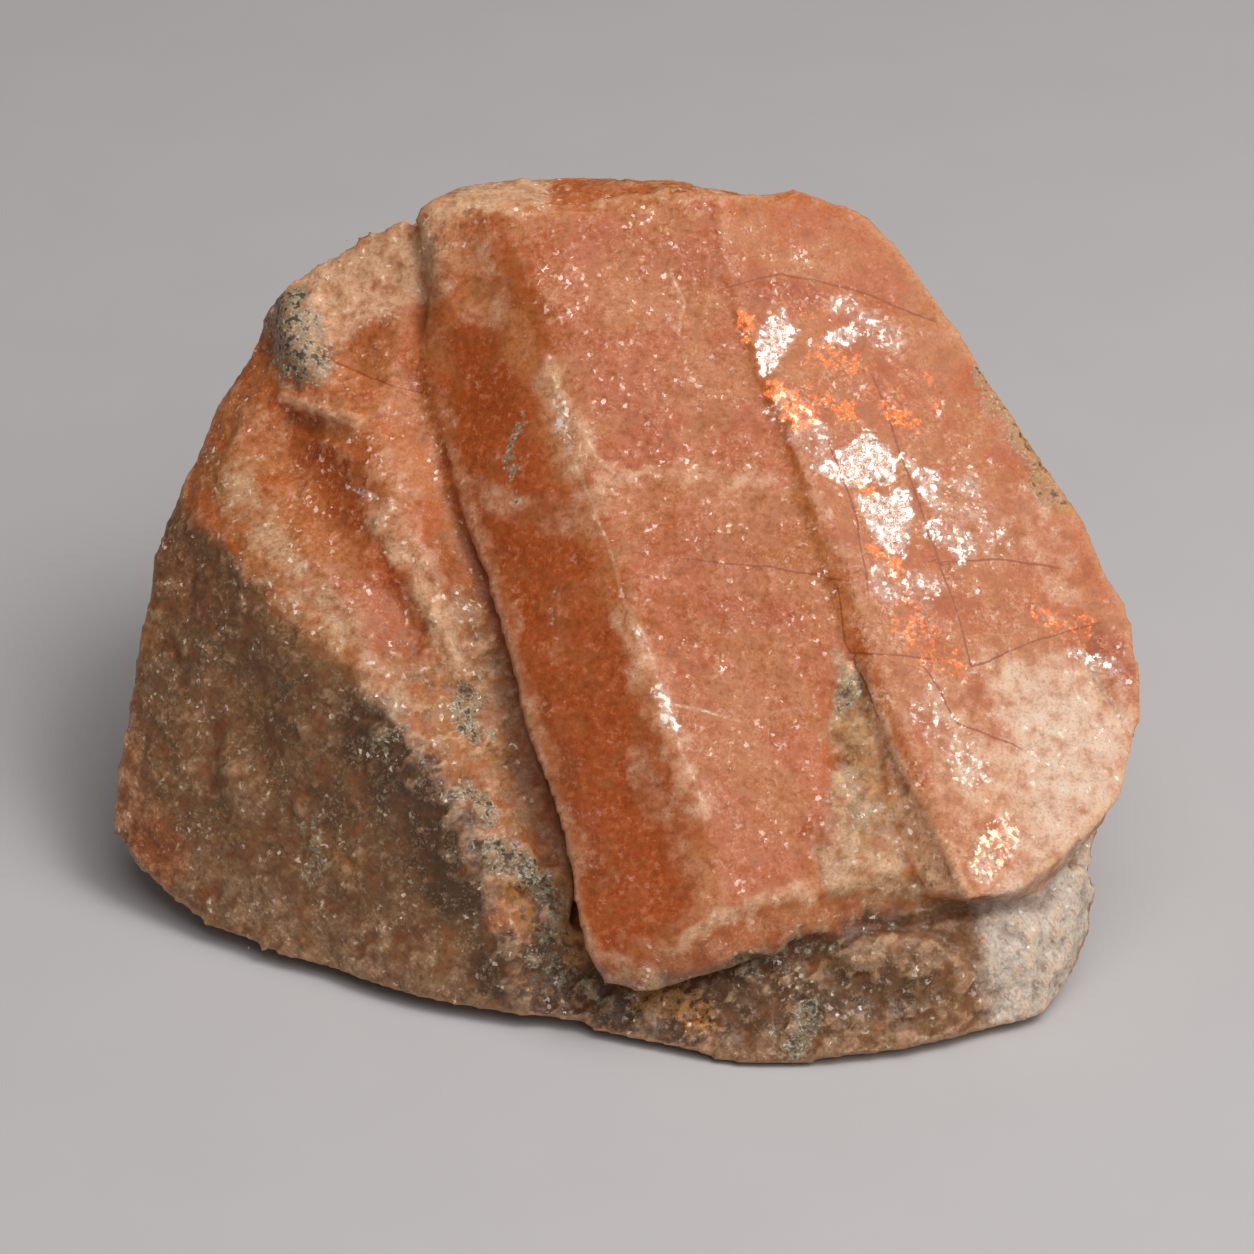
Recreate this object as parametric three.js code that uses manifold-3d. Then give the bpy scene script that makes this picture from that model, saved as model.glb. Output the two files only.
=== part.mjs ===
// A rough sunstone: one broken lump of orange feldspar, grown together with a foot of quartz and dark mica.
// Millimetres, +Z up. It stands on its flat spot, with its broad broken face towards -Y.
import * as THREE from "three";
import { ConvexGeometry } from "three/addons/geometries/ConvexGeometry.js";
import { ImprovedNoise } from "three/addons/math/ImprovedNoise.js";
import { mergeVertices } from "three/addons/utils/BufferGeometryUtils.js";
import Module from "manifold-3d";

const wasm = await Module();
wasm.setup();

// The broad face leans back from upright by LEAN. A face corner is [right, up the face, out of the face],
// measured from a point MIDDLE_HEIGHT above the table, as an eye EYE_DISTANCE in front of the face sees it.
// A hidden corner is plain [x, y, z].
const LEAN = THREE.MathUtils.degToRad(33);
const MIDDLE_HEIGHT = 25.6;
const EYE_DISTANCE = 379;

// The longest and shortest edges left on the surface, how close two points are that count as one, and how
// level two triangles are that count as one face (the cosine between them). THINNEST is the least angle by
// which two triangles must be too thin before their shared edge is turned.
const LONGEST_EDGE = 3.1;
const SHORTEST_EDGE = 0.9;
const SAME_POINT = 1e-4;
const LEVEL = 0.97;
const THINNEST = 0.01;

// The waves that weathering put into the skin. They differ in x, y and z by a step into the noise.
const WAVES = [
  { length: 13, height: 0.9 },
  { length: 5.5, height: 0.42 },
];
const WAVE_STEP = 31.7;
const FLAT_SPOT_FADE = 5;

// The rim that shows around the other masses, and the sides behind it.
const CORE_FACE = [
  [-12, 31.6, -12], [0, 32.2, -12], [6, 31.2, -11.5], [12, 31.2, -12], [16, 30, -13],
  [24.5, 20.5, -12], [31, 9, -10], [36.5, -4, -8], [35.5, -12, -4.5],
  [-24, 24, -16], [-31, 11.5, -15], [-34, 3, -14], [-35.5, -12, -13],
  [33, -19, -3.5], [30, -27, -4.5], [20, -30, 0], [-6, -28, -2.5], [-24, -22.5, -9],
];
const CORE_BACK = [
  [-31, 20, 30], [-20, 30, 36], [-6, 33.5, 41], [8, 34, 42], [18, 31, 34],
  [-34.5, 14, 18], [-28, 27, 22], [-9, 36.5, 25], [12, 35.5, 22], [26, 27, 20],
  [-37, 5, 7], [-35.5, 9, 10], [-23, 24, 6], [-5, 31, 4.5], [14, 30, 4], [27, 20, 5], [34, 6, 8],
  [-19, 6, 1.6], [26, 13, 2.4], [27, -9, 1],
];
const FLAT_SPOT = [
  [-9, 20, 0], [2, 25, 0], [14, 21, 0], [19, 8, 0], [16, -6, 0], [8, -14, 0], [-4, -10, 0], [-11, 4, 0],
];

// The left mass: the shoulder beside the bar, and the big shaded face under it.
const SHOULDER = [
  [-15.5, 30, -10.5], [-20, 28.2, -11.8], [-24.7, 25, -13.5], [-26.8, 22.5, -14.5],
  [-29, 17.5, -14], [-32.5, 10.5, -13], [-34.8, 5.3, -12.5],
  [-25, 21, -10.5], [-17.5, 14.3, -6], [-19, 9, -4.2], [-14, 1, -2.6],
  [-15.5, 19.5, -8.6], [-10, 1, -4.2], [-6.5, -10, -3], [-4, -18, -1.5], [-4, -23, -1.5],
  [-31.5, 8, -9], [-27, 3.5, -4.6], [-20, -3, -1.2], [-16, -8.5, 0],
  [-13, -14, 0.4], [-10.5, -19.5, 0.4], [-9, -24, 0],
  [-35.8, -3, -12.5], [-35.7, -9, -12], [-37.3, -15, -12.5], [-35, -18.5, -11.5],
  [-31, -22, -9.5], [-25.5, -24, -7.2], [-16, -26.9, -3.4], [-7, -28.8, -0.6],
  [-10, 0, -20], [-28, 0, -24],
];

// The long bar of deep orange feldspar that stands proud of the shoulder.
const BAR = [
  [-8.5, 30.5, -5], [7, -19.8, 6.2],
  [-15.3, 29.8, -9.6], [-14, 31, -8.5], [-15, 19.5, -7], [-3, -23.5, 3.2],
  [6, 31.5, -6.6], [15.5, 3, -0.2], [14.5, -19, 5.2], [21, -17.5, 2.8],
  [-1.8, -26, 3], [1.5, -26.4, 3.4], [8, -24, 3.8], [14, -21.8, 3.2], [20.9, -20.1, 1.2],
  [-12, 32.5, -11], [-4, 33, -10], [4, 32.3, -11],
  [-9, 20, -16], [5, -18, -6], [15, -16, -6], [10, 22, -16],
];

// The glittering block on the right, one step higher than the bar, with the slope that leads up to it.
const PLATEAU = [
  [6.5, 31.5, -6.8], [8, 25, -4.8], [15.4, 3, 0.4], [24.8, -19.3, 6.2],
  [28.5, -19.3, 5.3], [36.5, -11.5, 0.8], [37.8, -5, -1.8],
  [36.5, 1, -4], [31, 9.5, -5.6], [25, 20.5, -8], [17, 31, -9.8], [12, 32.6, -9.8],
  [16.4, -2, 0.2], [20.4, -19.6, 2.6], [29.6, -19.6, 1], [35.2, -13.2, -2.6], [12, 25, -16], [30, 5, -14],
];

// The foot of quartz and mica below the bar and the block, and the pale slabs at its right end.
const FOOT = [
  [-7, -28.6, -0.8], [0, -30.4, 1.2], [5, -31.6, 2.4], [9, -32.4, 3], [13, -32.1, 2.8],
  [20, -30.9, 1.8], [27, -29.2, -0.6], [30.3, -28.6, -1.6],
  [-4, -22, -1.5], [4, -24.5, 0], [14, -21, 0.5], [21, -19.4, 2.2], [29, -19.5, 1.2], [33.5, -17, -1.5],
  [34.3, -18.5, -4.5], [33.5, -22, -5], [31.5, -27, -3.8],
  [18, -25, 2.4], [25, -25, 2], [29.5, -24, 0.6],
  [0, -18, -12], [25, -15, -14],
];

// What split off behind: a slab from the upper right, down to a ledge, and one from the lower left, which
// leaves an upright rib between them.
const RIGHT_SLAB = [
  [3, 34, 25], [22, 30.5, 23.5], [32, 22, 26], [3, 45, 26], [36, 45, 22], [44, 28, 24],
  [6, 31, 50], [19, 27, 50], [30, 20, 50], [5, 45, 50], [40, 45, 50], [44, 28, 50],
];
const LEFT_SLAB = [
  [-9, 45, -2], [-10.5, 30, -2], [-27, 17.5, -2], [-50, 25, -2],
  [-12, 45, 35], [-15, 31, 38], [-29, 23.4, 33], [-50, 25, 33],
];

// Rounded lumps (height above 0) and hollows (height below 0) of the broad face: a line from one face corner
// to another, and how far to each side it reaches.
const SWELLINGS = [
  { from: [-24.4, 13, -8], to: [-13.4, -4.6, -2.6], reach: 4.8, height: -1.9 },
  { from: [-25.2, 24, -12], to: [-23.4, 18.4, -8.6], reach: 3, height: 1.1 },
  { from: [-14.6, 29, -8], to: [-13.4, 22, -6.6], reach: 3.2, height: 1 },
  { from: [-17.2, 13, -5], to: [-12.4, -3, -2.2], reach: 2.6, height: 0.9 },
  { from: [16, -22.6, 2.6], to: [20, -24, 2.6], reach: 3.2, height: 1.2 },
  { from: [-9, -8, -3], to: [-6.4, -17, -1.8], reach: 2.4, height: -0.9 },
  { from: [15.4, -8, 3], to: [18.6, -15, 3.6], reach: 3, height: -0.9 },
  { from: [-22, 19.6, -9], to: [-16, 17.2, -7.6], reach: 2, height: -0.8 },
  { from: [5, -28.4, 2.4], to: [12, -27.6, 2.8], reach: 3, height: -0.3 },
  { from: [-28, -6, -6], to: [-24, -14, -5], reach: 5, height: -0.8 },
];

// Where a face corner is in the part.
function place([right, up, out]) {
  const spread = 1 - out / EYE_DISTANCE;
  const point = new THREE.Vector3(right * spread, up * spread, out);
  point.applyAxisAngle(new THREE.Vector3(1, 0, 0), Math.PI / 2 - LEAN);
  point.z += MIDDLE_HEIGHT;
  return point;
}

// A closed mesh as a solid that can be joined and cut.
function solid(geometry) {
  const bare = geometry.clone();
  bare.deleteAttribute("normal");
  bare.deleteAttribute("uv");
  const merged = mergeVertices(bare, SAME_POINT);
  return new wasm.Manifold(
    new wasm.Mesh({
      numProp: 3,
      vertProperties: merged.attributes.position.array,
      triVerts: new Uint32Array(merged.index.array),
    }),
  );
}

const atCorner = ([x, y, z]) => new THREE.Vector3(x, y, z);

// The block whose flat faces are stretched over its corners.
function block(corners) {
  return solid(new ConvexGeometry(corners));
}

// The points and the triangles of a solid, as lists that can grow.
function surfaceOf(made) {
  const mesh = made.getMesh();
  const points = [];
  for (let i = 0; i < mesh.vertProperties.length; i += 3) {
    points.push(new THREE.Vector3().fromArray(mesh.vertProperties, i));
  }
  const triangles = [];
  for (let i = 0; i < mesh.triVerts.length; i += 3) {
    triangles.push([...mesh.triVerts.slice(i, i + 3)]);
  }
  return { points, triangles };
}

const edgeKey = (a, b) => `${Math.min(a, b)},${Math.max(a, b)}`;
const edgesOf = ([a, b, c]) => [[a, b], [b, c], [c, a]];
const lengthOf = (points, [a, b]) => points[a].distanceTo(points[b]);

function normalOf(points, [a, b, c]) {
  return new THREE.Triangle(points[a], points[b], points[c]).getNormal(new THREE.Vector3());
}

// The angle that a triangle has at its corner a.
function angleAt(points, a, b, c) {
  return points[b].clone().sub(points[a]).angleTo(points[c].clone().sub(points[a]));
}

// Draws the ends of each edge under SHORTEST_EDGE together, where that folds nothing over.
function closeShortEdges({ points, triangles }) {
  const around = points.map(() => new Set());
  const using = points.map(() => []);
  for (const corners of triangles) {
    for (const a of corners) {
      corners.filter((b) => b !== a).forEach((b) => around[a].add(b));
      using[a].push(corners);
    }
  }
  const settled = new Set();
  const becomes = new Map();
  for (const [a, b] of triangles.flatMap(edgesOf)) {
    const near = [...around[a], ...around[b]];
    const shared = [...around[a]].filter((point) => around[b].has(point));
    const kept = using[b].filter((corners) => !corners.includes(a));
    const folds = kept.some((corners) => {
      const after = corners.map((point) => (point === b ? a : point));
      return normalOf(points, corners).dot(normalOf(points, after)) < LEVEL;
    });
    const free = near.every((point) => !settled.has(point));
    if (free && !folds && shared.length === 2 && lengthOf(points, [a, b]) < SHORTEST_EDGE) {
      becomes.set(b, a);
      near.forEach((point) => settled.add(point));
    }
  }
  const closed = triangles
    .map((corners) => corners.map((point) => becomes.get(point) ?? point))
    .filter((corners) => new Set(corners).size === 3);
  return becomes.size > 0 ? closeShortEdges({ points, triangles: closed }) : { points, triangles };
}

// Turns the edge between two level triangles to their other diagonal, where that makes them less thin.
function turnEdges({ points, triangles }) {
  const owners = new Map();
  triangles.forEach((corners, index) => {
    for (const [a, b] of edgesOf(corners)) {
      owners.set(edgeKey(a, b), [...(owners.get(edgeKey(a, b)) ?? []), index]);
    }
  });
  const turned = new Set();
  const better = [...triangles];
  for (const pair of [...owners.values()]) {
    const [first, second] = pair.map((index) => triangles[index]);
    const c = first.find((point) => !second.includes(point));
    const d = second.find((point) => !first.includes(point));
    const at = first.indexOf(c);
    const [a, b] = [first[(at + 1) % 3], first[(at + 2) % 3]];
    const after = [[c, a, d], [c, d, b]];
    const facing = normalOf(points, first);
    const level = [second, ...after].every((corners) => normalOf(points, corners).dot(facing) > LEVEL);
    const thin = angleAt(points, c, a, b) + angleAt(points, d, a, b) > Math.PI + THINNEST;
    if (level && thin && !owners.has(edgeKey(c, d)) && !pair.some((index) => turned.has(index))) {
      pair.forEach((index, i) => {
        turned.add(index);
        better[index] = after[i];
      });
      owners.set(edgeKey(c, d), pair);
    }
  }
  return turned.size > 0 ? turnEdges({ points, triangles: better }) : { points, triangles };
}

// Splits each triangle's longest edge at its middle, again and again, until none is over LONGEST_EDGE, so the
// flat faces get points enough to weather.
function refine({ points, triangles }) {
  const middles = new Map();
  for (const corners of triangles) {
    const longest = edgesOf(corners).sort((e, f) => lengthOf(points, f) - lengthOf(points, e))[0];
    const [a, b] = longest;
    if (lengthOf(points, longest) > LONGEST_EDGE && !middles.has(edgeKey(a, b))) {
      middles.set(edgeKey(a, b), points.push(points[a].clone().lerp(points[b], 0.5)) - 1);
    }
  }
  const split = triangles.flatMap(([a, b, c]) => {
    const [ab, bc, ca] = edgesOf([a, b, c]).map(([from, to]) => middles.get(edgeKey(from, to)));
    const ring = [a, ab, b, bc, c, ca].filter((point) => point !== undefined);
    if (ring.length === 6) {
      return [[a, ab, ca], [ab, b, bc], [ca, bc, c], [ab, bc, ca]];
    }
    const first = Math.max(0, ring.findIndex((point) => ![a, b, c].includes(point)));
    const fan = ring.slice(first).concat(ring.slice(0, first));
    return fan.slice(2).map((point, i) => [fan[0], fan[i + 1], point]);
  });
  return middles.size > 0 ? refine(turnEdges({ points, triangles: split })) : { points, triangles };
}

// The same surface without the points that no triangle uses.
function withoutLoosePoints({ points, triangles }) {
  const used = [...new Set(triangles.flat())];
  const number = new Map(used.map((point, index) => [point, index]));
  return {
    points: used.map((point) => points[point]),
    triangles: triangles.map((corners) => corners.map((point) => number.get(point))),
  };
}

// The waves of the weathered skin, as a shift that changes slowly from place to place.
function weathering(point) {
  const noise = new ImprovedNoise();
  const shift = new THREE.Vector3();
  for (const { length, height } of WAVES) {
    const [x, y, z] = point.toArray().map((value) => value / length);
    shift.x += height * noise.noise(x, y, z);
    shift.y += height * noise.noise(x + WAVE_STEP, y, z);
    shift.z += height * noise.noise(x, y + WAVE_STEP, z);
  }
  return shift;
}

const outward = new THREE.Vector3(0, -Math.cos(LEAN), Math.sin(LEAN));
const swellings = SWELLINGS.map(({ from, to, reach, height }) => ({
  line: new THREE.Line3(place(from), place(to)),
  reach,
  height,
}));

// The lumps and pits near a point of the face.
function swelling(point) {
  const shift = new THREE.Vector3();
  for (const { line, reach, height } of swellings) {
    const nearest = line.closestPointToPoint(point, true, new THREE.Vector3());
    const amount = 1 - THREE.MathUtils.smoothstep(nearest.distanceTo(point), 0, reach);
    shift.addScaledVector(outward, amount * height);
  }
  return shift;
}

const masses = [SHOULDER, BAR, PLATEAU, FOOT].map((face) => block(face.map(place)));
const core = block([...CORE_FACE.map(place), ...CORE_BACK.map(atCorner), ...FLAT_SPOT.map(atCorner)]);
const behind = [RIGHT_SLAB, LEFT_SLAB].reduce((left, gap) => left.subtract(block(gap.map(atCorner))), core);
const joined = masses.reduce((whole, mass) => whole.add(mass), behind);
const { points, triangles } = withoutLoosePoints(refine(turnEdges(closeShortEdges(surfaceOf(joined)))));

const skin = points.map((point) => {
  const shift = weathering(point).add(swelling(point));
  shift.z *= THREE.MathUtils.smoothstep(point.z, 0, FLAT_SPOT_FADE);
  return point.clone().add(shift);
});

const stone = new THREE.BufferGeometry().setFromPoints(skin);
stone.setIndex(triangles.flat());
stone.computeBoundingBox();
const middle = stone.boundingBox.getCenter(new THREE.Vector3());
stone.translate(-middle.x, -middle.y, -stone.boundingBox.min.z);
stone.computeVertexNormals();

const sunstone = new THREE.Mesh(
  stone,
  new THREE.MeshStandardMaterial({ color: 0xc98a63, roughness: 0.5, metalness: 0 }),
);
sunstone.name = "sunstone";

const group = new THREE.Group();
group.add(sunstone);
export default group;
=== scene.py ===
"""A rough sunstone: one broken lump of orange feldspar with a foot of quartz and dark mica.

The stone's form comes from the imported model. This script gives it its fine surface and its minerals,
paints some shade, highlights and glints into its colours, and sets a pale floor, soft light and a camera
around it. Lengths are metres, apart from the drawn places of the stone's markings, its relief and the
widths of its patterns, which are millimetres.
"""

import math

import bmesh
import bpy
import numpy as np
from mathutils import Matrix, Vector, noise


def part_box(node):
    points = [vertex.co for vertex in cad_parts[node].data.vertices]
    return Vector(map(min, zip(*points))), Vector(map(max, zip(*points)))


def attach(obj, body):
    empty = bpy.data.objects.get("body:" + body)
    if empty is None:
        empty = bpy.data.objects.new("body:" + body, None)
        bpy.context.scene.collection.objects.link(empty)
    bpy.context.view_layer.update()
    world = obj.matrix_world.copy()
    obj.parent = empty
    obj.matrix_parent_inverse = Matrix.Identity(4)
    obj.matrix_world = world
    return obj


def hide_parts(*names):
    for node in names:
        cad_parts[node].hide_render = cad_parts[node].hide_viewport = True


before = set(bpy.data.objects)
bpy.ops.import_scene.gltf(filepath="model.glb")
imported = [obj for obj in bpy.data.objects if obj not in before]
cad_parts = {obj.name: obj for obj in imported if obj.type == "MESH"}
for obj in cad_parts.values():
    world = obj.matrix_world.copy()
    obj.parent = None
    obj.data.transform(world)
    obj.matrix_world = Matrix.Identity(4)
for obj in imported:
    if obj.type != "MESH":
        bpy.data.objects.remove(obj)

bl_info = {
    "name": "Rough sunstone",
    "version": (1, 0, 0),
    "blender": (4, 5, 0),
    "location": "3D View > Sidebar > Sunstone",
    "description": "Builds a rough sunstone with its grain, its minerals and a small studio around it",
    "category": "Object",
}

MM = 0.001
MERGE_WITHIN = MM / 1000
CAD_NODE = "sunstone"

# The camera looks along +Y and down by CAMERA_TILT, at VIEW_CENTRE, from CAMERA_DISTANCE away.
CAMERA_TILT = math.radians(33)
FRAME_WIDTH = 0.091
LENS_MM = 150
SENSOR_MM = 36
CAMERA_DISTANCE = FRAME_WIDTH * LENS_MM / SENSOR_MM
VIEW_CENTRE = Vector((0.00035, -0.00822, 0.0256))
TO_EYE = Vector((0, -math.cos(CAMERA_TILT), math.sin(CAMERA_TILT)))

# The feldspar's main cleavage faces this way. Light that comes from MIRROR_LIGHT glances off it to the
# camera.
CLEAVAGE = Vector((0.235, -0.604, 0.762)).normalized()
MIRROR_LIGHT = (2 * CLEAVAGE.dot(TO_EYE) * CLEAVAGE - TO_EYE).normalized()

# Fine lines on the broken faces run this way: in the camera's view, from the upper left to the lower right.
STREAK = Vector((1, -math.sin(CAMERA_TILT), -math.cos(CAMERA_TILT))).normalized()

# How much a point of the surface faces the camera depends on the cosine of the angle between its normal and
# the way to the camera: not at all below the first of these, and fully above the second.
FACING = (0.02, 0.16)

# Places on the side that the camera sees are (right, up) in millimetres from the middle of its view.
GROOVE = [
    (-16.8, 22.5), (-15, 19), (-12.8, 12), (-10.5, 4), (-8.2, -3), (-6.5, -10), (-3.8, -20), (-2, -25.5),
]
RIDGE = [
    (-8.9, 30), (-7, 24.5), (-6, 18.6), (-3.8, 12.1), (-1.6, 6.3), (1.7, -2.4), (4.6, -9.3), (6.4, -14.7),
    (7.3, -20),
]
BLOCK_EDGE = [(7, 29), (7.7, 24.5), (10, 18), (13, 11), (15.3, 2.5), (16.5, -1.7)]
RISER_TOP = [(16.8, -2), (19.5, -9), (22.4, -14.5), (24.8, -19.3)]
RISER_FOOT = [(16.5, -2), (18, -8), (19.6, -14), (21.4, -19.3)]
SHADE_EDGE = [
    (-33, 9.5), (-31.5, 8), (-28, 4.5), (-25.5, 1.5), (-20, -3), (-17, -6.5), (-14, -11), (-12, -16.5),
    (-10, -21.5), (-7.5, -25), (-6, -29),
]
BAR_END_TOP = [(-2.5, -23.3), (4, -22.3), (8, -20.5), (14.5, -19.2), (20.8, -17.5)]
BAR_END_FOOT = [(-1.8, -26), (1.5, -26.4), (8, -24), (14, -21.8), (20.9, -20)]
BLOCK_RIM = [(28.5, -19.3), (36.8, -12), (38, -4), (35, 3), (28.5, 14.5), (20.5, 27.5), (14, 31.6)]
FOOT_RIM = [(24.8, -19.3), (30, -19.5), (35, -13), (38, -22), (31, -31), (9, -35), (-8, -31)]

# How far from the ridge the clear feldspar on the bar's side ends.
CLEAR_INSET = 1.6

# Areas, each inside its outline.
BAR_SIDE = GROOVE + RIDGE[::-1]
CLEAR_SIDE = GROOVE[1:] + [(right - CLEAR_INSET, up) for right, up in RIDGE[:1:-1]]
BAR_TOP = RIDGE + [(14.5, -19.2), (13.5, -10), (15, -3)] + BLOCK_EDGE[::-1]
BAR_END = BAR_END_TOP + BAR_END_FOOT[::-1]
MATRIX = [
    (15, -1.5), (16.5, -2), (18, -8), (19.6, -14), (21.4, -20), (15.5, -20.5), (13.6, -17), (14.5, -10),
]
RISER = RISER_TOP + RISER_FOOT[::-1]
BLOCK_TOP = BLOCK_EDGE + RISER_TOP + BLOCK_RIM
MILKY = [(26, -2), (33, -2.5), (37, -6), (37, -13), (29, -19.5), (27.5, -12)]
SHOULDER = [(-14, 31)] + GROOVE[:5] + [(-10, -7), (-14, -9)] + SHADE_EDGE[6::-1] + [(-31, 15), (-25, 25)]
LEFT_FACE = SHADE_EDGE + [(-16, -28), (-31, -24), (-39, -17), (-38, 4)]
STRIP = GROOVE[3:] + SHADE_EDGE[:3:-1]
FOOT = [(-7, -24), (-2, -25.5)] + BAR_END_FOOT + FOOT_RIM
# A patch of copper platelets with painted yellow glints and a painted highlight.
GOLD_GLINT_PATCH = [(24.4, -17.8), (25.4, -14.6), (27, -13.4), (28.6, -14), (27.8, -17), (26, -18.6)]
SLAB_END = [(25.5, -19.5), (31, -18.5), (35, -14), (36, -24), (31, -30), (26.5, -29)]
# Painted highlights: the patches where the block's cleavage flakes mirror the key light to the camera.
HIGHLIGHT_UPPER = [(9.4, 18.6), (9.8, 21.4), (11, 23.2), (12.6, 22), (12, 20.4), (11, 18.8)]
HIGHLIGHT_MIDDLE = [(13.6, 11.9), (15.2, 13), (17.3, 14.2), (19.7, 12.2), (19.3, 10.6), (17, 10), (15.2, 10.2)]
HIGHLIGHT_LOWER = [(16, 9.4), (18.2, 9.6), (20.5, 10), (20.8, 7.4), (19.8, 4.8), (18, 5.4), (17, 7.4)]


def lines(*drawn):
    """Several drawn lines, each with how far it reaches to each side and how strong it is."""
    return [{"line": line, "reach": reach, "strength": strength} for line, reach, strength in drawn]


def areas(*drawn):
    """Several outlined areas, each with how soft its edge is and how strong it is."""
    return [{"outline": outline, "reach": soft, "strength": strength} for outline, soft, strength in drawn]
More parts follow.
